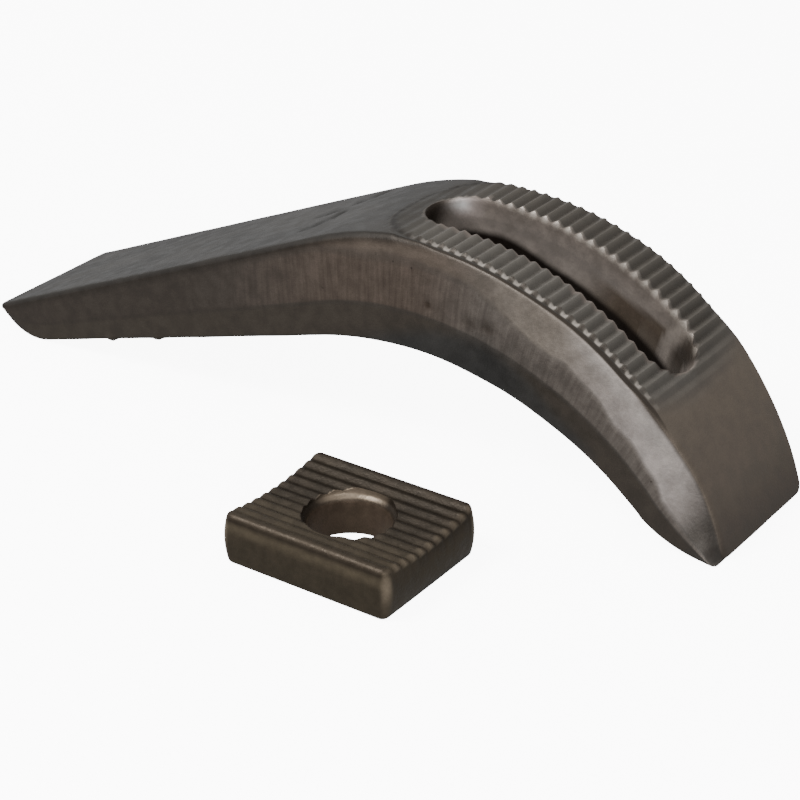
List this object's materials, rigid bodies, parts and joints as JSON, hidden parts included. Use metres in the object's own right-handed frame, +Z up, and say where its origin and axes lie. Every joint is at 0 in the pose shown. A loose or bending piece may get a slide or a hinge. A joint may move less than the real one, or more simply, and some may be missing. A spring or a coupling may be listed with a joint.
{
  "type": "strap clamp",
  "caption": "Arched forged strap clamp with a long stud slot through its serrated crest, lying with its loose serrated washer, teeth up.",
  "frame": {"origin": "centre of the whole object's bounding box, on the surface that both pieces lie on", "axes": "+X along the clamp from its nose to its heel, +Y from the washer to the clamp, +Z up"},
  "size_m": [0.2, 0.0945, 0.0549],
  "materials": {
    "arm_steel": "as-forged steel with a dark oxide, sheared parting band brownish, edges rubbed bright",
    "washer_steel": "dark oxidised steel with a slight brown tint, rubbed bright on its corners and tooth ends"
  },
  "bodies": {
    "arm": {"clamp_arm": "arm_steel"},
    "washer": {"serrated_washer": "washer_steel"}
  },
  "joints": [
    {"name": "washer_lift", "type": "slide", "parent": "arm", "child": "washer", "axis": [0, 0, 1], "range_m": [0, 0.07]}
  ]
}
